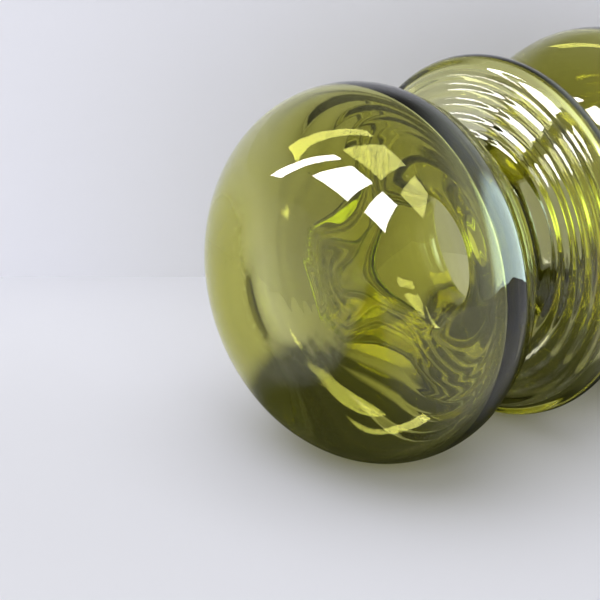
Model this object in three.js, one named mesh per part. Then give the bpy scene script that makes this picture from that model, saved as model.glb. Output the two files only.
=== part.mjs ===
// Glass vase, blown in one piece in a mould. A round bulb stands on a flat foot, a narrow
// waist carries a ring, and a second waist carries an upper bulb with a short flared mouth.
// Shallow concentric ripples run round the outer part of the ring's lower face.
// Millimetres, +Z up, with the origin at the centre of the foot.

import * as THREE from "three";

// Widths, as radii from the upright axis
const LOWER_BULB_RADIUS = 60;
const RING_RADIUS = 60;
const UPPER_BULB_RADIUS = 60.6;
const WAIST_RADIUS = 29.8;
const BORE_RADIUS = 15.5;
const NECK_RADIUS = 29.8;
const FLOOR_FLAT_RADIUS = 10;
const FOOT_DISH_RADIUS = 18;

// Heights
const LOWER_BULB_HALF_HEIGHT = 42;
const UPPER_BULB_HALF_HEIGHT = 42;
const WIDEST_LINE_HEIGHT = 34;
const LOWER_SPACING = 57;
const UPPER_SPACING = 57;
const FOOT_DISH_DEPTH = 1.2;

// Roundings
const HEEL_TILT = 41;
const WAIST_FILLET = 5;
const BORE_FILLET_WIDTH = 10;
const BORE_FILLET_HEIGHT = 12;
const RING_EDGE_ROUNDING = 8;
const NECK_FILLET = 12;

// Mouth
const FLARE_TILT = 50;
const FLARE_LENGTH = 6;

// Ripples on the ring's lower face, between two radii
const RIPPLE_COUNT = 5;
const RIPPLE_DEPTH = 0.6;
const RIPPLE_INNER_RADIUS = 36;
const RIPPLE_OUTER_RADIUS = 59;

// Glass thickness. The last two say how much flatter the inside of a bulb is than its
// outside, towards a waist and towards the mouth.
const FLOOR_THICKNESS = 7;
const SIDE_WALL = 4.2;
const RING_WALL = 4;
const NECK_WALL = 4.2;
const FLATTER_TO_WAIST = 22;
const FLATTER_TO_MOUTH = 8;

// Fineness of the mesh
const SIDES = 36;
const BULB_STEPS = 6;
const FILLET_STEPS = 4;
const RIM_STEPS = 9;
const PLAIN_FACE_STEPS = 1;
const PLAIN_RIM_STEPS = 5;
const RIPPLED_FACE_STEPS = 26;
const LIP_STEPS = 5;
const DISH_STEPS = 4;

const RIGHT_ANGLE = Math.PI / 2;
const rad = THREE.MathUtils.degToRad;
const lerp = THREE.MathUtils.lerp;

// A station is a point of a skin with the tilt of the skin there, which is the angle of its
// outward facing: 0 straight down, 90 degrees outwards and 180 straight up. Both skins of
// the vase, outside and inside, are rows of stations that run upwards.
function station(r, z, tilt) {
  return { r, z, tilt };
}

function pushedIn(s, depth) {
  return station(s.r - depth * Math.sin(s.tilt), s.z + depth * Math.cos(s.tilt), s.tilt);
}

// An oval with its centre at r, z. A hollow one has the glass outside it.
function makeOval(r, z, halfWidth, halfHeight, hollow = false) {
  return { r, z, halfWidth, halfHeight, side: hollow ? -1 : 1 };
}

// The station of an oval where its skin has the given tilt
function onOval(oval, tilt) {
  const width = oval.halfWidth * Math.sin(tilt);
  const height = oval.halfHeight * Math.cos(tilt);
  const share = oval.side / Math.hypot(width, height);
  const r = oval.r + oval.halfWidth * width * share;
  const z = oval.z - oval.halfHeight * height * share;
  return station(r, z, tilt);
}

// How far an oval reaches in the direction of a tilt
function reach(oval, tilt) {
  const { r, z } = onOval(oval, tilt);
  return r * Math.sin(tilt) - z * Math.cos(tilt);
}

// Stations along an oval from one tilt to another, without the first one
function sweep(oval, fromTilt, toTilt, steps) {
  const row = [];
  for (let i = 1; i <= steps; i++) row.push(onOval(oval, lerp(fromTilt, toTilt, i / steps)));
  return row;
}

// The value between two others up to which a question is answered with yes, by halving
function halve(low, high, question) {
  const halvings = 50;
  for (let i = 0; i < halvings; i++) {
    const middle = (low + high) / 2;
    if (question(middle)) low = middle;
    else high = middle;
  }
  return low;
}

// The hollow round that narrows a bulb to a waist, and the tilt where it leaves the bulb
function narrowed(bulb, radius, filletWidth, filletHeight) {
  const shape = makeOval(0, 0, filletWidth, filletHeight, true);
  const centre = (tilt) => {
    const at = onOval(bulb, tilt);
    const from = onOval(shape, tilt);
    return { r: at.r - from.r, z: at.z - from.z };
  };
  const leave = halve(RIGHT_ANGLE, Math.PI, (tilt) => centre(tilt).r - filletWidth > radius);
  const { r, z } = centre(leave);
  return { leave, round: makeOval(r, z, filletWidth, filletHeight, true) };
}

// Stations from a bulb's widest line over its shoulder and waist and out to the middle of the
// rim of the ring above it. The face is the straight line that touches both the waist's
// hollow round and the rim.
function bulbToRing(bulb, waist, rim, faceSteps, rimSteps) {
  const { leave, round } = waist;
  const face = halve(0, RIGHT_ANGLE, (tilt) => reach(round, tilt) > reach(rim, tilt));
  const start = onOval(round, face);
  const end = onOval(rim, face);
  const straight = [];
  for (let i = 1; i <= faceSteps; i++) {
    const share = i / faceSteps;
    straight.push(station(lerp(start.r, end.r, share), lerp(start.z, end.z, share), face));
  }
  return [
    ...sweep(bulb, RIGHT_ANGLE, leave, BULB_STEPS),
    ...sweep(round, leave, RIGHT_ANGLE, FILLET_STEPS),
    ...sweep(round, RIGHT_ANGLE, face, FILLET_STEPS),
    ...straight,
    ...sweep(rim, face, RIGHT_ANGLE, rimSteps),
  ];
}

// A row that was made for a bulb below the ring, turned over for one above it
function turnedOver(row, height) {
  return row.map((s) => station(s.r, 2 * height - s.z, Math.PI - s.tilt)).reverse();
}

// A station pushed in by the ripples, which are nothing at both of their end radii
function rippled(s) {
  const share = (s.r - RIPPLE_INNER_RADIUS) / (RIPPLE_OUTER_RADIUS - RIPPLE_INNER_RADIUS);
  if (share < 0 || share > 1) return s;
  return pushedIn(s, RIPPLE_DEPTH * (0.5 - 0.5 * Math.cos(2 * Math.PI * RIPPLE_COUNT * share)));
}

// The flat foot and the rounded heel, up to the lower bulb's widest line
function heel(bulb) {
  const tilt = rad(HEEL_TILT);
  const top = onOval(bulb, tilt);
  const radius = top.z / (1 - Math.cos(tilt));
  const round = makeOval(top.r - radius * Math.sin(tilt), radius, radius, radius);
  return [
    onOval(round, 0),
    ...sweep(round, 0, tilt, FILLET_STEPS),
    ...sweep(bulb, tilt, RIGHT_ANGLE, BULB_STEPS),
  ];
}

// The upper half of a bulb and the hollow round of the neck, up to where the flare starts
function neck(bulb, radius, fillet) {
  const { leave, round } = narrowed(bulb, radius, fillet, fillet);
  return [
    onOval(bulb, RIGHT_ANGLE),
    ...sweep(bulb, RIGHT_ANGLE, leave, BULB_STEPS),
    ...sweep(round, leave, rad(FLARE_TILT), BULB_STEPS),
  ];
}

const RING_HEIGHT = WIDEST_LINE_HEIGHT + LOWER_SPACING;
const UPPER_BULB_HEIGHT = RING_HEIGHT + UPPER_SPACING;

// The outside, from the foot up to the flare's edge
function outerSkin() {
  const lowerBulb = makeOval(0, WIDEST_LINE_HEIGHT, LOWER_BULB_RADIUS, LOWER_BULB_HALF_HEIGHT);
  const mirrored = RING_HEIGHT - UPPER_SPACING;
  const upperBulb = makeOval(0, mirrored, UPPER_BULB_RADIUS, UPPER_BULB_HALF_HEIGHT);
  const topBulb = { ...upperBulb, z: UPPER_BULB_HEIGHT };
  const rimCentre = RING_RADIUS - RING_EDGE_ROUNDING;
  const rim = makeOval(rimCentre, RING_HEIGHT, RING_EDGE_ROUNDING, RING_EDGE_ROUNDING);
  const lowerWaist = narrowed(lowerBulb, WAIST_RADIUS, WAIST_FILLET, WAIST_FILLET);
  const upperWaist = narrowed(upperBulb, WAIST_RADIUS, WAIST_FILLET, WAIST_FILLET);
  const below = bulbToRing(lowerBulb, lowerWaist, rim, RIPPLED_FACE_STEPS, RIM_STEPS);
  const above = bulbToRing(upperBulb, upperWaist, rim, PLAIN_FACE_STEPS, PLAIN_RIM_STEPS);
  const row = [
    ...heel(lowerBulb),
    ...below.map(rippled),
    ...turnedOver(above, RING_HEIGHT).slice(1),
    ...neck(topBulb, NECK_RADIUS, NECK_FILLET),
  ];
  const { r, z, tilt } = row.at(-1);
  const edge = station(r + FLARE_LENGTH * Math.cos(tilt), z + FLARE_LENGTH * Math.sin(tilt), tilt);
  return [...row, edge];
}

// The inside, from the glass of the foot up to the inside of the flare's edge
function innerSkin(flareEdge) {
  const lowerWidth = LOWER_BULB_RADIUS - SIDE_WALL;
  const upperWidth = UPPER_BULB_RADIUS - SIDE_WALL;
  const floorDepth = WIDEST_LINE_HEIGHT - FLOOR_THICKNESS;
  const floorWidth = lowerWidth - FLOOR_FLAT_RADIUS;
  const floor = makeOval(FLOOR_FLAT_RADIUS, WIDEST_LINE_HEIGHT, floorWidth, floorDepth);
  const lowerShoulder = LOWER_BULB_HALF_HEIGHT - FLATTER_TO_WAIST;
  const upperShoulder = UPPER_BULB_HALF_HEIGHT - FLATTER_TO_WAIST;
  const lowerBulb = makeOval(0, WIDEST_LINE_HEIGHT, lowerWidth, lowerShoulder);
  const upperBulb = makeOval(0, RING_HEIGHT - UPPER_SPACING, upperWidth, upperShoulder);
  const topDepth = UPPER_BULB_HALF_HEIGHT - FLATTER_TO_MOUTH;
  const topBulb = makeOval(0, UPPER_BULB_HEIGHT, upperWidth, topDepth);
  const rimCentre = RING_RADIUS - RING_EDGE_ROUNDING;
  const rimRounding = RING_EDGE_ROUNDING - RING_WALL;
  const rim = makeOval(rimCentre, RING_HEIGHT, rimRounding, rimRounding);
  const lowerBore = narrowed(lowerBulb, BORE_RADIUS, BORE_FILLET_WIDTH, BORE_FILLET_HEIGHT);
  const upperBore = narrowed(upperBulb, BORE_RADIUS, BORE_FILLET_WIDTH, BORE_FILLET_HEIGHT);
  const below = bulbToRing(lowerBulb, lowerBore, rim, PLAIN_FACE_STEPS, PLAIN_RIM_STEPS);
  const above = bulbToRing(upperBulb, upperBore, rim, PLAIN_FACE_STEPS, PLAIN_RIM_STEPS);
  return [
    onOval(floor, 0),
    ...sweep(floor, 0, RIGHT_ANGLE, 2 * FILLET_STEPS),
    ...below,
    ...turnedOver(above, RING_HEIGHT).slice(1),
    ...neck(topBulb, NECK_RADIUS - NECK_WALL, NECK_FILLET + NECK_WALL),
    pushedIn(flareEdge, NECK_WALL),
  ];
}

// The half-round lip from the outside of the flare's edge over to its inside
function lip(edge) {
  const out = Math.sin(edge.tilt);
  const down = -Math.cos(edge.tilt);
  const half = NECK_WALL / 2;
  const points = [];
  for (let i = 1; i < LIP_STEPS; i++) {
    const turn = (Math.PI * i) / LIP_STEPS;
    const back = half - half * Math.cos(turn);
    const onwards = half * Math.sin(turn);
    const r = edge.r - back * out - onwards * down;
    const z = edge.z - back * down + onwards * out;
    points.push(new THREE.Vector2(r, z));
  }
  return points;
}

// The shallow dish under the foot, as the arc of a large circle
function footDish() {
  const radius = (FOOT_DISH_RADIUS ** 2 + FOOT_DISH_DEPTH ** 2) / (2 * FOOT_DISH_DEPTH);
  const points = [];
  for (let i = 0; i <= DISH_STEPS; i++) {
    const r = (FOOT_DISH_RADIUS * i) / DISH_STEPS;
    const z = Math.sqrt(radius * radius - r * r) - radius + FOOT_DISH_DEPTH;
    points.push(new THREE.Vector2(r, z));
  }
  return points;
}

function vaseProfile() {
  const outside = outerSkin();
  const edge = outside.at(-1);
  const inside = innerSkin(edge).reverse();
  const point = (s) => new THREE.Vector2(s.r, s.z);
  const floorCentre = new THREE.Vector2(0, FLOOR_THICKNESS);
  return [...footDish(), ...outside.map(point), ...lip(edge), ...inside.map(point), floorCentre];
}

function vaseBody() {
  const geometry = new THREE.LatheGeometry(vaseProfile(), SIDES);
  geometry.rotateX(RIGHT_ANGLE);
  const glass = new THREE.MeshStandardMaterial({
    color: 0x8a8c2e,
    roughness: 0.04,
    metalness: 0,
    transparent: true,
    opacity: 0.55,
  });
  const mesh = new THREE.Mesh(geometry, glass);
  mesh.name = "vase_body";
  return mesh;
}

const vase = new THREE.Group();
vase.add(vaseBody());

export default vase;
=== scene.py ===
# %% [markdown]
# # A blown glass vase, lesson by lesson
# The real vase is one gather of olive glass, blown into a mould: a round bulb on a flat foot, a
# narrow waist, a ring with fine ripples round its lower face, a second waist and an upper bulb
# with a short mouth. The imported solid gives its place and its size, so it is loaded first.

# %% Load the imported solid
import math
import bpy
from mathutils import Matrix, Vector


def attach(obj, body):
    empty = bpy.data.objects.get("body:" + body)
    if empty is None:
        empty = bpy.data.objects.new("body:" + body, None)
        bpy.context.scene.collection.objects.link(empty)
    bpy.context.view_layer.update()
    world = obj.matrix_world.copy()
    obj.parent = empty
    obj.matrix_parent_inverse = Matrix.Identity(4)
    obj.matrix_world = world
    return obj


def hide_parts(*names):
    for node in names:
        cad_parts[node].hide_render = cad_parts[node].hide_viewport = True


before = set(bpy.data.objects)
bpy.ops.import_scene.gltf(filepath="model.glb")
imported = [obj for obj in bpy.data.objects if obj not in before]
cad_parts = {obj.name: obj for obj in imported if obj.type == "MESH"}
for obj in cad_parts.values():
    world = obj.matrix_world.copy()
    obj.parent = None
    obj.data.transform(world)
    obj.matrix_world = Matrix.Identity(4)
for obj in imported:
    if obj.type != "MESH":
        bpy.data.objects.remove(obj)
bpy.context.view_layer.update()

# %% [markdown]
# ## Three directions to build by
# The vase is modelled upright, along Z, but it is looked at lying on its side. It could be
# turned over for the picture, but then it would no longer lie in the solid's own frame, so the
# set is turned in its place. Two directions help to say where things are while the vase lies:
# SKYWARD is what points up then, and SIDEWAYS is the level direction across its axis.

# %% Directions while the vase lies down
MM = 0.001
AXIS = Vector((0.0, 0.0, 1.0))
SKYWARD = Vector((1.0, -1.0, 0.0)).normalized()
SIDEWAYS = Vector((1.0, 1.0, 0.0)).normalized()
print("skyward", tuple(SKYWARD), "sideways", tuple(SIDEWAYS))


def lying(along, sideways, skyward):
    """A vector from its shares along the axis, sideways and skyward."""
    return AXIS * along + SIDEWAYS * sideways + SKYWARD * skyward


# %% [markdown]
# ## The camera
# A camera that looks at a lying vase from its foot can be placed by hand, but it is better to
# work it out: the long lens keeps the bulb's outline nearly an oval, the turn is the angle
# between the vase's axis and the line of sight, seen from above, and the dip is how far the
# camera looks down. The bulb's place in the picture, across, down and away from the eye, is
# given in units of its own radius.

# %% Place the camera
BULB_RADIUS = 60 * MM
BULB_CENTRE = 34 * MM
TURN = math.radians(47.60)
DIP = math.radians(19.36)
BULB_IN_VIEW = (0.341, -0.135, 10.866)
LENS = 126
SENSOR = 36


def put_in_scene(name, data):
    """A new object that shows a mesh, a camera or a light."""
    made = bpy.data.objects.new(name, data)
    bpy.context.scene.collection.objects.link(made)
    return made


view_right = lying(math.sin(TURN), math.cos(TURN), 0)
level_forward = lying(math.cos(TURN), -math.sin(TURN), 0)
view_forward = level_forward * math.cos(DIP) - SKYWARD * math.sin(DIP)
view_up = level_forward * math.sin(DIP) + SKYWARD * math.cos(DIP)
across, down, away = (share * BULB_RADIUS for share in BULB_IN_VIEW)
eye = AXIS * BULB_CENTRE - view_right * across + view_up * down - view_forward * away

lens = bpy.data.cameras.new("camera")
lens.lens = LENS
lens.sensor_width = SENSOR
camera = put_in_scene("camera", lens)
camera.matrix_world = Matrix.Translation(eye) @ Matrix(
    (view_right, view_up, -view_forward)).transposed().to_4x4()
bpy.context.scene.camera = camera
bpy.context.scene.view_settings.view_transform = "Standard"
print("the camera stands", round((eye - AXIS * BULB_CENTRE).length, 3), "m from the bulb")

# %% [markdown]
# ## Shader sums written as sums
# A node tree is easier to read as arithmetic. The class below wraps one output socket, and its
# operators add the Math node that works the sum out, so that a mask can be written as it would
# be said. The reflected forms let a plain number stand first, as in 1 - mask. Numbers alone are
# worked out in Python and never become nodes.

# %% Arithmetic on sockets
class Amount:
    """A value that a node works out, held by an output socket of a node tree."""

    def __init__(self, sheet, socket):
        self.sheet = sheet
        self.socket = socket

    def worked_out(self, operation, first, second):
        return self.sheet.node("ShaderNodeMath", {"operation": operation}, {0: first, 1: second})

    def __add__(self, other):
        return self.worked_out("ADD", self, other)

    __radd__ = __add__

    def __sub__(self, other):
        return self.worked_out("SUBTRACT", self, other)

    def __rsub__(self, other):
        return self.worked_out("SUBTRACT", other, self)

    def __mul__(self, other):
        return self.worked_out("MULTIPLY", self, other)

    __rmul__ = __mul__


print("sums on sockets are ready")

# %% [markdown]
# ## A sheet to put nodes on
# Every finish below fills one node tree. The sheet empties the tree and then has one method
# that makes any node: its type, its settings, then the values or links of its sockets. Nodes
# that are asked for often get a short name of their own, and colours and vectors go through
# their own kinds of node, because a Math node would turn a colour grey.

# %% Nodes on a sheet
class Sheet:
    """A node tree being filled: node() makes one node and gives one of its outputs back."""

    def __init__(self, owner):
        owner.use_nodes = True
        self.tree = owner.node_tree
        self.tree.nodes.clear()

    def node(self, kind, settings, sockets, output=0):
        made = self.tree.nodes.new(kind)
        for name, value in settings.items():
            setattr(made, name, value)
        for name, value in sockets.items():
            if isinstance(value, Amount):
                self.tree.links.new(value.socket, made.inputs[name])
            else:
                made.inputs[name].default_value = value
        return Amount(self, made.outputs[output]) if made.outputs else None

    def between(self, value, low, high):
        """Runs smoothly from 0 to 1 while the value runs from low to high."""
        return self.node("ShaderNodeMapRange", {"interpolation_type": "SMOOTHSTEP"}, {
            "Value": value, "From Min": low, "From Max": high})

    def noise(self, place, scale, detail, roughness):
        """Cloudy noise from 0 to 1."""
        return self.node("ShaderNodeTexNoise", {}, {
            "Vector": place, "Scale": scale, "Detail": detail, "Roughness": roughness},
            output="Fac")

    def dot(self, first, second):
        """How far one vector reaches along another."""
        return self.node("ShaderNodeVectorMath", {"operation": "DOT_PRODUCT"},
                         {0: first, 1: second}, output="Value")

    def blend(self, factor, first, second):
        """Mixes two colours."""
        return self.node("ShaderNodeMix", {"data_type": "RGBA"},
                         {0: factor, 6: first, 7: second}, output=2)

    def switch(self, factor, first, second):
        """Mixes two shaders."""
        return self.node("ShaderNodeMixShader", {}, {0: factor, 1: first, 2: second})

    def ray(self, output):
        """What the Light Path node knows about the ray that looks at the surface."""
        return self.node("ShaderNodeLightPath", {}, {}, output=output)


print("sheets are ready")

# %% [markdown]
# ## The outline of the blown skin
# A vase is a turned form, so half of its outline, spun round the axis, gives all of it. The
# outline could be drawn as a curve by eye, but here it is followed as a mould maker would draw
# it: ovals for the bulbs, hollow rounds at the waists, a straight face out to the ring and a
# round rim, each of which touches the next without a corner. To make that easy, every point of
# the outline keeps the tilt that the skin has there.

# %% Stations along an outline
class Station:
    """A point of a skin, and the tilt of the skin there: 0 faces down, a right angle faces out."""

    def __init__(self, r, z, tilt):
        self.r = r
        self.z = z
        self.tilt = tilt

    def pushed_in(self, depth):
        """The station moved square to the skin, away from the outside."""
        return Station(self.r - depth * math.sin(self.tilt), self.z + depth * math.cos(self.tilt),
                       self.tilt)

    def turned_over(self, height):
        """The same station for a bulb above the ring, mirrored at the given height."""
        return Station(self.r, 2 * height - self.z, math.pi - self.tilt)


RIGHT_ANGLE = math.pi / 2
pushed = Station(60 * MM, 0, RIGHT_ANGLE).pushed_in(4 * MM)
print("a station at 60 mm, pushed in by 4 mm, is at", round(pushed.r / MM, 3), "mm")

# %% [markdown]
# ## Ovals, rounds and where they touch
# One kind of shape is enough for every bend: an oval, which is a round when its halves are
# equal, and which is hollow where the glass is outside it. Where two shapes touch is found by
# halving: the middle of a stretch is tried over and over, and the half with the answer is kept.
# That is slower than a formula, but it is the same few lines for every pair of shapes.

# %% Ovals and halving
HALVINGS = 50


def mix(first, second, share):
    """The number that lies a share of the way from the first to the second."""
    return first + (second - first) * share


class Oval:
    """An oval or a round that the outline follows. A hollow one has the glass outside it."""

    def __init__(self, r, z, half_width, half_height=None, hollow=False):
        self.r = r
        self.z = z
        self.half_width = half_width
        self.half_height = half_height or half_width
        self.side = -1 if hollow else 1

    def at(self, tilt):
        """The point where the outline has the given tilt."""
        width = self.half_width * math.sin(tilt)
        height = self.half_height * math.cos(tilt)
        support = self.side / math.hypot(width, height)
        return (self.r + self.half_width * width * support,
                self.z - self.half_height * height * support)

    def reach(self, tilt):
        """How far the oval reaches in the direction of a tilt."""
        r, z = self.at(tilt)
        return r * math.sin(tilt) - z * math.cos(tilt)

    def sweep(self, first, last, steps):
        """Stations from one tilt to another, without the first one."""
        tilts = [mix(first, last, i / steps) for i in range(1, steps + 1)]
        return [Station(*self.at(tilt), tilt) for tilt in tilts]


def halve(low, high, holds):
    """The value between two others up to which a question is answered with yes."""
    for _ in range(HALVINGS):
        middle = (low + high) / 2
        if holds(middle):
            low = middle
        else:
            high = middle
    return low


print("halving 0 to 1 at a third gives", round(halve(0, 1, lambda value: value < 1 / 3), 4))

# %% [markdown]
# ## Sizes of the outside
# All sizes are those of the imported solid, but for the flare, which is a tenth of a millimetre
# shorter here, so that the rounder lip doesn't rise above the solid. The two waists are alike,
# and the upper bulb is a hair wider than the lower one.

# %% Outside sizes
RING_RADIUS = 60 * MM
UPPER_RADIUS = 60.6 * MM
HALF_HEIGHT = 42 * MM
SPACING = 57 * MM
RING_HEIGHT = BULB_CENTRE + SPACING
UPPER_CENTRE = RING_HEIGHT + SPACING
WAIST_RADIUS = 29.8 * MM
WAIST_FILLET = (5 * MM, 5 * MM)
NECK_FILLET = (12 * MM, 12 * MM)
RIM_ROUND = 8 * MM
HEEL_TILT = math.radians(41)
FLARE_TILT = math.radians(50)
FLARE_LENGTH = 5.9 * MM
DISH_RADIUS = 18 * MM
DISH_DEPTH = 1.2 * MM
print("the ring is at", RING_HEIGHT, "m and the upper bulb at", UPPER_CENTRE, "m")

# %% [markdown]
# ## From the bulb to the ring
# The waist is a small hollow round between the bulb's shoulder and the ring. How far over the
# shoulder it sits depends on the waist's radius, which is found by halving. The face of the ring
# is the straight line that touches both the waist and the round rim, again found by halving.

# %% The shoulder, the waist and the face
SHOULDER_STEPS = 28
WAIST_STEPS = 12
PLAIN_FACE_STEPS = 10
RIM_STEPS = 36


def waist_round(bulb, waist_radius, fillet):
    """The tilt where the hollow round leaves the bulb, and the round itself."""
    shape = Oval(0, 0, *fillet, hollow=True)

    def centre(tilt):
        bulb_r, bulb_z = bulb.at(tilt)
        shape_r, shape_z = shape.at(tilt)
        return bulb_r - shape_r, bulb_z - shape_z

    leave = halve(RIGHT_ANGLE, math.pi, lambda tilt: centre(tilt)[0] - fillet[0] > waist_radius)
    return leave, Oval(*centre(leave), *fillet, hollow=True)


def bulb_to_ring(bulb, waist_radius, fillet, rim, steps=PLAIN_FACE_STEPS):
    """Stations from a bulb's widest line over its shoulder and waist to the middle of the rim,
    with the given number of steps on the straight face."""
    leave, waist = waist_round(bulb, waist_radius, fillet)
    face = halve(0, RIGHT_ANGLE, lambda tilt: waist.reach(tilt) > rim.reach(tilt))
    start, end = waist.at(face), rim.at(face)
    straight = [Station(mix(start[0], end[0], i / steps), mix(start[1], end[1], i / steps), face)
                for i in range(1, steps)]
    return [
        *bulb.sweep(RIGHT_ANGLE, leave, SHOULDER_STEPS),
        *waist.sweep(leave, RIGHT_ANGLE, WAIST_STEPS),
        *waist.sweep(RIGHT_ANGLE, face, WAIST_STEPS),
        *straight,
        Station(*end, face),
        *rim.sweep(face, RIGHT_ANGLE, RIM_STEPS),
    ]


outer_bulb = Oval(0, BULB_CENTRE, BULB_RADIUS, HALF_HEIGHT)
print("the waist leaves the bulb at",
      round(math.degrees(waist_round(outer_bulb, WAIST_RADIUS, WAIST_FILLET)[0]), 1), "degrees")

# %% [markdown]
# ## The rippled face
# A few shallow ripples run round the outer part of the ring's lower face, pressed into it by the
# mould. A bump in the finish would be quicker, but these ripples are cut as true geometry: they
# bend the light on its way through the glass and they show at the edge of the ring.

# %% The ripples of the ring
RIPPLES = 5
RIPPLE_DEPTH = 0.6 * MM
RIPPLE_INNER = 36 * MM
RIPPLE_OUTER = 59 * MM
STEPS_PER_RIPPLE = 20


def rippled(station):
    """The station pushed in by the ripples, which fade in and out between two radii."""
    share = (station.r - RIPPLE_INNER) / (RIPPLE_OUTER - RIPPLE_INNER)
    if not 0 < share < 1:
        return station
    return station.pushed_in(RIPPLE_DEPTH * (0.5 - 0.5 * math.cos(math.tau * RIPPLES * share)))


outer_rim = Oval(RING_RADIUS - RIM_ROUND, RING_HEIGHT, RIM_ROUND)
lower_half = [rippled(station) for station in bulb_to_ring(
    outer_bulb, WAIST_RADIUS, WAIST_FILLET, outer_rim, RIPPLES * STEPS_PER_RIPPLE)]
print("the lower bulb's shoulder, the waist and the rippled face have", len(lower_half), "stations")

# %% [markdown]
# ## The foot
# The foot is a flat ring round a shallow dish, so that the vase stands on its edge and not on
# its middle. The dish is part of a large ball. The heel rolls up from the flat ring into the
# bulb, on a round that touches both.

# %% The heel and the dish
HEEL_STEPS = 18
BASE_STEPS = 26
DISH_STEPS = 8


def heel(bulb):
    """Stations from the flat ring round the heel up to the bulb's widest line."""
    top_r, top_z = bulb.at(HEEL_TILT)
    radius = top_z / (1 - math.cos(HEEL_TILT))
    roll = Oval(top_r - radius * math.sin(HEEL_TILT), radius, radius)
    return [Station(roll.r, 0, 0), *roll.sweep(0, HEEL_TILT, HEEL_STEPS),
            *bulb.sweep(HEEL_TILT, RIGHT_ANGLE, BASE_STEPS)]


def foot_dish():
    """Points from the axis out to the flat ring."""
    radius = (DISH_RADIUS ** 2 + DISH_DEPTH ** 2) / (2 * DISH_DEPTH)
    rings = [DISH_RADIUS * i / DISH_STEPS for i in range(DISH_STEPS + 1)]
    return [(r, math.sqrt(radius ** 2 - r ** 2) - radius + DISH_DEPTH) for r in rings]


foot_outside = heel(outer_bulb)
print("the flat ring ends", round(foot_outside[0].r, 4), "m from the axis")

# %% [markdown]
# ## The outside up to the lip
# The mouth is outside the picture that the vase was built from, so it gets what such a vase has:
# a hollow neck and a short flare. The ring's upper face and the upper bulb's lower half are made
# as the lower ones are, without ripples, and then turned over.

# %% The outer skin
NECK_STEPS = 20


def mouth(bulb, neck_radius, fillet):
    """Stations from a bulb's widest line over its shoulder and up the neck to the flare."""
    leave, neck = waist_round(bulb, neck_radius, fillet)
    return [Station(bulb.half_width, bulb.z, RIGHT_ANGLE),
            *bulb.sweep(RIGHT_ANGLE, leave, SHOULDER_STEPS),
            *neck.sweep(leave, FLARE_TILT, NECK_STEPS)]


def upper_half(bulb_radius, half_height, waist_radius, fillet, rim):
    """The stations from the ring's rim up to the upper bulb's widest line, without either."""
    bulb = Oval(0, BULB_CENTRE, bulb_radius, half_height)
    half = bulb_to_ring(bulb, waist_radius, fillet, rim)
    return [station.turned_over(RING_HEIGHT) for station in reversed(half[:-1])]


def outer_skin():
    upper_bulb = Oval(0, UPPER_CENTRE, UPPER_RADIUS, HALF_HEIGHT)
    row = [*foot_outside, *lower_half,
           *upper_half(UPPER_RADIUS, HALF_HEIGHT, WAIST_RADIUS, WAIST_FILLET, outer_rim),
           *mouth(upper_bulb, WAIST_RADIUS, NECK_FILLET)]
    top = row[-1]
    flare_r, flare_z = FLARE_LENGTH * math.cos(top.tilt), FLARE_LENGTH * math.sin(top.tilt)
    return [*row, Station(top.r + flare_r, top.z + flare_z, top.tilt)]


outside = outer_skin()
print("the outside has", len(outside), "stations, up to", round(outside[-1].z, 4), "m")

# %% [markdown]
# ## The inside
# An even wall could be had by pushing the outside in, but blown glass is thick where it is
# narrow: the gather is stretched thin at the bulbs' widest lines and stays thick at the foot and
# the waists. So the inside is drawn with its own ovals, which are flatter than the outside's.
# They follow the way that the glass bends what is seen through it.

# %% The inner skin
SIDE_WALL = 4.2 * MM
LOWER_INSIDE = 27 * MM
FLOOR_FLAT = 10 * MM
SHOULDER_INSIDE = 20 * MM
TOP_INSIDE = 34 * MM
BORE_RADIUS = 15.5 * MM
BORE_FILLET = (10 * MM, 12 * MM)
RING_WALL = 4 * MM
NECK_WALL = 4.2 * MM
INSIDE_STEPS = 60
print("the glass of the foot is", round(BULB_CENTRE - LOWER_INSIDE, 4), "m thick")


def inner_skin(last):
    """The inside, from the foot's glass up to the inside of the outer skin's last station."""
    inside = BULB_RADIUS - SIDE_WALL
    upper_inside = UPPER_RADIUS - SIDE_WALL
    floor_oval = Oval(FLOOR_FLAT, BULB_CENTRE, inside - FLOOR_FLAT, LOWER_INSIDE)
    shoulder = Oval(0, BULB_CENTRE, inside, SHOULDER_INSIDE)
    rim = Oval(RING_RADIUS - RIM_ROUND, RING_HEIGHT, RIM_ROUND - RING_WALL)
    top_bulb = Oval(0, UPPER_CENTRE, upper_inside, TOP_INSIDE)
    neck_fillet = (NECK_FILLET[0] + NECK_WALL, NECK_FILLET[1] + NECK_WALL)
    return [Station(*floor_oval.at(0), 0), *floor_oval.sweep(0, RIGHT_ANGLE, INSIDE_STEPS),
            *bulb_to_ring(shoulder, BORE_RADIUS, BORE_FILLET, rim),
            *upper_half(upper_inside, SHOULDER_INSIDE, BORE_RADIUS, BORE_FILLET, rim),
            *mouth(top_bulb, WAIST_RADIUS - NECK_WALL, neck_fillet), last.pushed_in(NECK_WALL)]


# %% [markdown]
# ## The whole outline
# The edge of the lip is rounded in the flame, so the outside and the inside are joined by a half
# round. Then all of it is one row of points, from the middle of the foot over the lip and down
# to the middle of the inside.

# %% The lip and the whole outline
LIP_STEPS = 10


def lip(last):
    """Points on the half round from the outside of the last station over to its inside."""
    half = NECK_WALL / 2
    out, rise = math.sin(last.tilt), -math.cos(last.tilt)
    points = []
    for i in range(1, LIP_STEPS):
        turn = math.pi * i / LIP_STEPS
        back = half - half * math.cos(turn)
        on = half * math.sin(turn)
        points.append((last.r - back * out - on * rise, last.z - back * rise + on * out))
    return points


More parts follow.
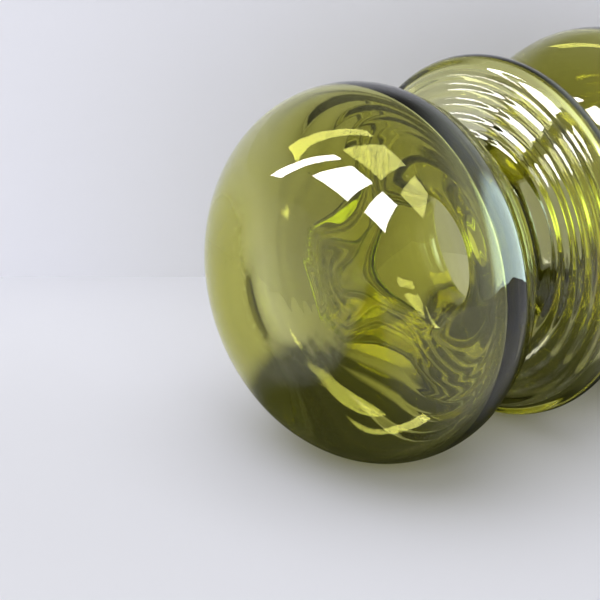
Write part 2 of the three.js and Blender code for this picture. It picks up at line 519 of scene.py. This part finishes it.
inside_down = reversed(inner_skin(outside[-1]))
outline = [*foot_dish(), *[(station.r, station.z) for station in outside], *lip(outside[-1]),
           *[(station.r, station.z) for station in inside_down], (0, BULB_CENTRE - LOWER_INSIDE)]
print("the outline has", len(outline), "points, up to", round(max(z for _, z in outline), 4), "m")

# %% [markdown]
# ## Spinning the outline into glass
# Blender's Screw modifier can spin an outline. It is spun by hand here, which gives one single
# point on the axis at each end: rings of points are joined by quads, with a fan of triangles at
# the middle of the foot outside and inside. The result is one closed skin with the glass between
# its outer and inner sheets, and absorption needs that to tint thick glass more than thin glass.

# %% Spin it
SIDES = 136


def spin(points, sides):
    """A closed turned mesh from an outline that starts and ends on the axis."""
    vertices = [(0.0, 0.0, points[0][1])]
    for r, z in points[1:-1]:
        for i in range(sides):
            turn = math.tau * i / sides
            vertices.append((r * math.cos(turn), r * math.sin(turn), z))
    vertices.append((0.0, 0.0, points[-1][1]))
    last = len(vertices) - 1
    faces = []
    for i in range(sides):
        on = (i + 1) % sides
        faces.append((0, 1 + on, 1 + i))
        for ring in range(len(points) - 3):
            low, high = 1 + ring * sides, 1 + (ring + 1) * sides
            faces.append((low + i, low + on, high + on, high + i))
        top = last - sides
        faces.append((last, top + i, top + on))
    mesh = bpy.data.meshes.new("vase_glass")
    mesh.from_pydata(vertices, [], faces)
    mesh.validate()
    mesh.shade_smooth()
    return mesh


vase_glass = put_in_scene("vase_glass", spin(outline, SIDES))
print("the vase has", len(vase_glass.data.polygons), "faces")

# %% [markdown]
# ## The uneven skin of blown glass
# Blown glass is never quite even. Slow waves come from the blowing, fine cords run round the
# axis, and there are a few seeds, which are tiny bubbles just under the skin. All three are far
# too shallow to model, so they go into one bump: noise for the waves, the same noise squeezed
# along the axis for the cords, and the middles of Voronoi cells for the seeds.

# %% Waves, cords and seeds
WAVE_SCALE = 22
CORD_SCALES = (14, 14, 160)
CORD_SHARE = 0.12
SEED_SPACING = 14 * MM
SEED_SIZE = 0.45 * MM
SEED_SHARE = 0.3
BUMP_DEPTH = 0.35 * MM


def blown_skin(sheet, place):
    """The normal of the uneven skin."""
    slow_waves = sheet.noise(place, scale=WAVE_SCALE, detail=1, roughness=0.4)
    squeezed = sheet.node("ShaderNodeMapping", {}, {"Vector": place, "Scale": CORD_SCALES})
    cords = sheet.noise(squeezed, scale=1, detail=2, roughness=0.5)
    from_middle = sheet.node("ShaderNodeTexVoronoi", {}, {
        "Vector": place, "Scale": 1 / SEED_SPACING}, output="Distance")
    seeds = 1 - sheet.between(from_middle, 0, SEED_SIZE / SEED_SPACING)
    return sheet.node("ShaderNodeBump", {}, {
        "Strength": 1, "Distance": BUMP_DEPTH,
        "Height": slow_waves + CORD_SHARE * cords + SEED_SHARE * seeds})


print("a seed is", round(SEED_SIZE / MM, 2), "mm in radius, one to", round(SEED_SPACING / MM), "mm")

# %% [markdown]
# ## Wear on the foot
# A vase is slid about for years, and its bearing ring gets worn matt in patches, while the glass
# above it stays bright. A height mask keeps the wear to the lowest fraction of a millimetre, and
# fine noise breaks it up. It changes the roughness alone, because the scratches take no colour.

# %% The worn foot
WEAR_HEIGHT = 0.4 * MM
WEAR_ROUGHNESS = 0.22
PATCH_SCALE = 600
PATCH_EDGE = (0.32, 0.70)


def foot_wear(sheet, place):
    """One where the glass is worn most, nought where it isn't worn."""
    near_foot = 1 - sheet.between(sheet.dot(place, AXIS), 0, WEAR_HEIGHT)
    patches = sheet.noise(place, scale=PATCH_SCALE, detail=3, roughness=0.6)
    return near_foot * sheet.between(patches, *PATCH_EDGE)


print("the foot is worn up to", round(WEAR_HEIGHT / MM, 2), "mm")

# %% [markdown]
# ## Olive glass
# A tinted surface is the quick way to colour glass, but it colours thin and thick glass alike.
# Real coloured glass takes its colour from its depth, so the skin is clear here, and a plain
# absorption inside does the tinting. Shadow rays go straight through the skin, and the glass
# tints them on their way, so the shadow is light and tinted, as a real glass shadow is, without
# thousands of samples.

# %% The olive glass
GLASS_IOR = 1.5
WHITE = (1.0, 1.0, 1.0, 1.0)
TINT = (0.78, 0.775, 0.20, 1.0)
TINT_DENSITY = 150
LET_THROUGH = (1.0, 0.99, 0.86, 1.0)


def olive_glass():
    material = bpy.data.materials.new("olive_glass")
    sheet = Sheet(material)
    place = sheet.node("ShaderNodeTexCoord", {}, {}, output="Object")
    skin = sheet.node("ShaderNodeBsdfPrincipled", {}, {
        "Base Color": WHITE, "Roughness": WEAR_ROUGHNESS * foot_wear(sheet, place),
        "IOR": GLASS_IOR, "Transmission Weight": 1, "Normal": blown_skin(sheet, place)})
    clear = sheet.node("ShaderNodeBsdfTransparent", {}, {"Color": LET_THROUGH})
    surface = sheet.switch(sheet.ray("Is Shadow Ray"), skin, clear)
    depth = sheet.node("ShaderNodeVolumeAbsorption", {}, {
        "Color": TINT, "Density": TINT_DENSITY})
    sheet.node("ShaderNodeOutputMaterial", {}, {"Surface": surface, "Volume": depth})
    return material


vase_glass.data.materials.append(olive_glass())
print("olive glass absorbs", [round(TINT_DENSITY * (1 - part)) for part in TINT[:3]], "per metre")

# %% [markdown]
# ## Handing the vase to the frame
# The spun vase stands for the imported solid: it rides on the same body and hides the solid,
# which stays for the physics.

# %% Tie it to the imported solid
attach(vase_glass, "root")
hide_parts("vase_body")
print("vase_glass stands for vase_body")

# %% [markdown]
# ## Cards for the set
# The set is made of flat cards. A matt card could block the view from its other side, so each
# one is clear when it is seen from behind. A card is also black for light that has met a matt
# surface before and then came through the glass: such light would only come as spots of grain.

# %% Matt cards
BLACK = (0.0, 0.0, 0.0, 1.0)


def card(name, corners):
    """A flat card of the set, and the sheet of its finish."""
    mesh = bpy.data.meshes.new(name)
    mesh.from_pydata(corners, [], [(0, 1, 2, 3)])
    material = bpy.data.materials.new(name)
    mesh.materials.append(material)
    made = put_in_scene(name, mesh)
    return made, Sheet(material)


def matt(sheet, color):
    return sheet.node("ShaderNodeBsdfDiffuse", {}, {"Color": color})


def matt_card(name, centre, across, up, paint):
    """A matt card with the given half sides. Its paint is a colour, or a function that makes a
    shader on the card's sheet."""
    made, sheet = card(name, [centre - across - up, centre + across - up, centre + across + up,
                              centre - across + up])
    front = paint(sheet) if callable(paint) else matt(sheet, paint)
    by_way_of_glass = sheet.ray("Diffuse Depth") * sheet.ray("Is Transmission Ray")
    front = sheet.switch(by_way_of_glass, front, matt(sheet, BLACK))
    back = sheet.node("ShaderNodeNewGeometry", {}, {}, output="Backfacing")
    clear = sheet.node("ShaderNodeBsdfTransparent", {}, {})
    sheet.node("ShaderNodeOutputMaterial", {}, {"Surface": sheet.switch(back, front, clear)})
    return made


print("cards are ready")

# %% [markdown]
# ## The floor and the backdrop
# The vase lies on a plain pale floor in front of a plain pale backdrop, and the two meet in a
# line some way behind it. Seen in the glass, the floor is darker near the vase's axis. It lies in
# the vase's own shade there, and the render makes that shade too pale by itself.

# %% The floor and the backdrop
FLOOR_DROP = 60.7 * MM
FLOOR_DEEP = 0.31
FLOOR_WIDE = 1.6
FLOOR_COLOR = (0.78, 0.785, 0.825, 1.0)
SHADE_INNER = 36 * MM
SHADE_OUTER = 76 * MM
SHADE_COLOR = (0.12, 0.125, 0.08, 1.0)
BACKDROP_AWAY = 0.794
BACKDROP_TALL = 0.14
BACKDROP_LEFT = 1.6
BACKDROP_RIGHT = 0.17
BACKDROP_COLOR = (0.76, 0.765, 0.815, 1.0)


def seen_in_glass(sheet):
    """At least 1 for rays that the glass has mirrored or let through, and nought for all others.
    A mix takes a factor above 1 as 1."""
    return sheet.ray("Is Glossy Ray") + sheet.ray("Is Transmission Ray")


def floor_paint(sheet):
    place = sheet.node("ShaderNodeTexCoord", {}, {}, output="Object")
    off_axis = sheet.node("ShaderNodeMath", {"operation": "ABSOLUTE"}, {
        0: sheet.dot(place, SIDEWAYS)})
    shaded = 1 - sheet.between(off_axis, SHADE_INNER, SHADE_OUTER)
    return sheet.switch(seen_in_glass(sheet) * shaded, matt(sheet, FLOOR_COLOR),
                        matt(sheet, SHADE_COLOR))


backdrop_foot = eye + level_forward * BACKDROP_AWAY
backdrop_foot -= SKYWARD * (backdrop_foot.dot(SKYWARD) + FLOOR_DROP)
matt_card("floor", backdrop_foot - level_forward * FLOOR_DEEP, view_right * FLOOR_WIDE,
          level_forward * FLOOR_DEEP, floor_paint)
backdrop_middle = backdrop_foot + view_right * (BACKDROP_RIGHT - BACKDROP_LEFT) / 2
matt_card("backdrop", backdrop_middle + SKYWARD * BACKDROP_TALL / 2,
          view_right * (BACKDROP_RIGHT + BACKDROP_LEFT) / 2, SKYWARD * BACKDROP_TALL / 2,
          BACKDROP_COLOR)
print("floor", FLOOR_DROP, "m under the axis, backdrop foot", tuple(backdrop_foot))

# %% [markdown]
# ## A floor for the upright vase
# When the vase is seen upright it needs something to stand on, so a third card lies under its
# foot. Only a camera that looks down at it sees it: the glass doesn't, and it throws neither
# light nor shadow. It lies a hair lower than the foot, because two faces in the same place would
# show through each other.

# %% The upright floor
UPRIGHT_FLOOR_HALF = 1.1
FOOT_GAP = 0.05 * MM

upright_floor = matt_card("upright_floor", AXIS * -FOOT_GAP, Vector((UPRIGHT_FLOOR_HALF, 0, 0)),
                          Vector((0, UPRIGHT_FLOOR_HALF, 0)), FLOOR_COLOR)
upright_floor.visible_glossy = False
upright_floor.visible_transmission = False
upright_floor.visible_shadow = False
upright_floor.visible_diffuse = False
print("the upright floor is", 2 * UPRIGHT_FLOOR_HALF, "m wide")

# %% [markdown]
# ## Lit panels
# Three tall lit panels stand in a row to the left. Their mirror images on the bulb are the first
# thing that the eye reads as glass, so each is placed by where its image should fall. They lean
# over, as their images do. A panel is bright for the glass alone: it lights nothing and throws
# no shadow, and it is dark for light that has met a matt surface before.

# %% The three panels
PANELS_TURN = -118.3
PANEL_AWAY = 1.3
PANEL_TOP = 1.28
PANEL_LEAN = 0.40
PANELS = {"panel_a": (0.92, 0.55, 0.55), "panel_b": (0.34, -0.10, 0.50),
          "panel_c": (-0.30, -0.46, 0.24)}
PANEL_STRENGTH = 34


def studio_direction(turn, rise=0):
    """A direction from the vase, in degrees: turn is measured from the way that the camera looks,
    positive to the right, and rise from the level."""
    turn, rise = math.radians(turn), math.radians(rise)
    level = level_forward * math.cos(turn) + view_right * math.sin(turn)
    return level * math.cos(rise) + SKYWARD * math.sin(rise)


def light_panel(name, left, right, low):
    """A lit card. Its places are shares of its distance: left and right along the row of panels,
    and how far down it reaches from the common top edge."""
    facing = studio_direction(PANELS_TURN)
    along = SKYWARD.cross(facing)
    corners = []
    for side, height in ((left, PANEL_TOP), (right, PANEL_TOP), (right, low), (left, low)):
        shift = side - PANEL_LEAN * (PANEL_TOP - height)
        corners.append(AXIS * BULB_CENTRE
                       + PANEL_AWAY * (facing + along * shift + SKYWARD * height))
    panel, sheet = card(name, corners)
    glow = sheet.node("ShaderNodeEmission", {}, {
        "Color": sheet.blend(sheet.ray("Diffuse Depth"), WHITE, BLACK),
        "Strength": PANEL_STRENGTH})
    sheet.node("ShaderNodeOutputMaterial", {}, {"Surface": glow})
    panel.visible_camera = False
    panel.visible_diffuse = False
    panel.visible_shadow = False
    return corners


for name, (left, right, low) in PANELS.items():
    corners = light_panel(name, left, right, low)
    print(name, [tuple(round(x, 2) for x in corner) for corner in corners])

# %% [markdown]
# ## Lamps for the floors
# Broad square lamps give soft shadows. One hangs high over the vase and one stands behind the
# camera, and together they light the floor and the backdrop. A third one lights the floor of the
# upright vase: it stands low and far beyond the mouth, behind the backdrop, so that it hardly
# reaches the other cards. The glass mirrors none of them, because the panels do that part.

# %% Three soft lamps
def soft_lamp(name, toward, away, size, power):
    """A square lamp at a distance from the bulb, which it faces."""
    light = bpy.data.lights.new(name, "AREA")
    light.size = size
    light.energy = power
    lamp = put_in_scene(name, light)
    lamp.location = AXIS * BULB_CENTRE + toward * away
    lamp.rotation_euler = toward.to_track_quat("Z", "Y").to_euler()
    lamp.visible_camera = False
    lamp.visible_glossy = False
    lamp.visible_transmission = False
    print(name, "gives", power, "W from", tuple(round(x, 2) for x in lamp.location))


soft_lamp("top_lamp", studio_direction(turn=-118, rise=80), away=1.8, size=2.4, power=27)
soft_lamp("front_lamp", studio_direction(turn=180, rise=15), away=2.0, size=2.0, power=30.5)
soft_lamp("upright_lamp", lying(along=0.94, sideways=0, skyward=-0.34), away=1.8, size=1.6,
          power=34)

# %% [markdown]
# ## What the glass sees round it
# The rest that the glass mirrors and lets through is a studio painted on the world: middling in
# front, darker behind the camera, and bright on the right, which gives the pale band on the
# bulb's shoulder. Above it is dark where it is mirrored, so that the glass keeps its colour, and
# pale where it is seen through the glass. The world can tell the rays apart: the floor gets a
# plain dim sky from it, fainter still by way of the glass, and the camera sees the backdrop's
# colour.

# %% The studio round the glass
STUDIO_FRONT = (0.60, 0.61, 0.65, 1.0)
STUDIO_TOP = (0.16, 0.16, 0.14, 1.0)
STUDIO_TOP_THROUGH = (0.60, 0.60, 0.58, 1.0)
STUDIO_BACK = (0.40, 0.40, 0.40, 1.0)
STUDIO_NEAR_RIGHT = (1.3, 1.4, 1.3, 1.0)
STUDIO_RIGHT = (5.0, 6.4, 6.2, 1.0)
SKY_ON_FLOOR = (0.25, 0.25, 0.27, 1.0)
SKY_THROUGH_GLASS = (0.05, 0.05, 0.05, 1.0)
TOP_EDGE = (0.30, 0.60)
BACK_EDGE = (0.0, 0.35)
NEAR_RIGHT_EDGE = (0.35, 0.75)
RIGHT_EDGE = (0.80, 0.90)


def studio_light():
    """The world. An edge is where a part of the studio starts and where it is full, as the share
    of a direction that points at its middle."""
    world = bpy.data.worlds.new("studio")
    bpy.context.scene.world = world
    sheet = Sheet(world)
    toward = sheet.node("ShaderNodeTexCoord", {}, {}, output="Generated")
    up = sheet.dot(toward, SKYWARD)
    behind = sheet.dot(toward, studio_direction(turn=165, rise=-5))
    right = sheet.dot(toward, studio_direction(turn=78))
    top = sheet.blend(sheet.ray("Is Transmission Ray"), STUDIO_TOP, STUDIO_TOP_THROUGH)
    shade = sheet.blend(sheet.between(up, *TOP_EDGE), STUDIO_FRONT, top)
    shade = sheet.blend(sheet.between(behind, *BACK_EDGE), shade, STUDIO_BACK)
    shade = sheet.blend(sheet.between(right, *NEAR_RIGHT_EDGE), shade, STUDIO_NEAR_RIGHT)
    shade = sheet.blend(sheet.between(right, *RIGHT_EDGE), shade, STUDIO_RIGHT)
    shade = sheet.blend(sheet.ray("Diffuse Depth"), shade, SKY_THROUGH_GLASS)
    color = sheet.blend(seen_in_glass(sheet), SKY_ON_FLOOR, shade)
    color = sheet.blend(sheet.ray("Is Camera Ray"), color, BACKDROP_COLOR)
    sky = sheet.node("ShaderNodeBackground", {}, {"Color": color, "Strength": 1})
    sheet.node("ShaderNodeOutputWorld", {}, {"Surface": sky})


studio_light()
print("the studio is lit")

# %% [markdown]
# ## The end

# %% The end
print("the scene is finished")
